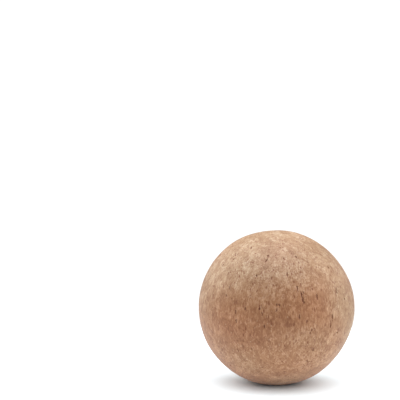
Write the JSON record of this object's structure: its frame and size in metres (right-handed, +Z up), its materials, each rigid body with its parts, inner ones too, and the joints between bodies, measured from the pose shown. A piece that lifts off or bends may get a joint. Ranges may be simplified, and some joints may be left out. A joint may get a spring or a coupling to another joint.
{
  "type": "massage ball",
  "caption": "Solid ball of agglomerated cork, rolled between the body and a floor or wall to massage muscles.",
  "frame": {"origin": "centre of the ball", "axes": "+Z up, along the long side of the cork granules; X and Y are level and alike"},
  "size_m": [0.065, 0.065, 0.065],
  "materials": {
    "cork": "matte"
  },
  "bodies": {
    "root": {"cork_ball": "cork"}
  },
  "joints": []
}
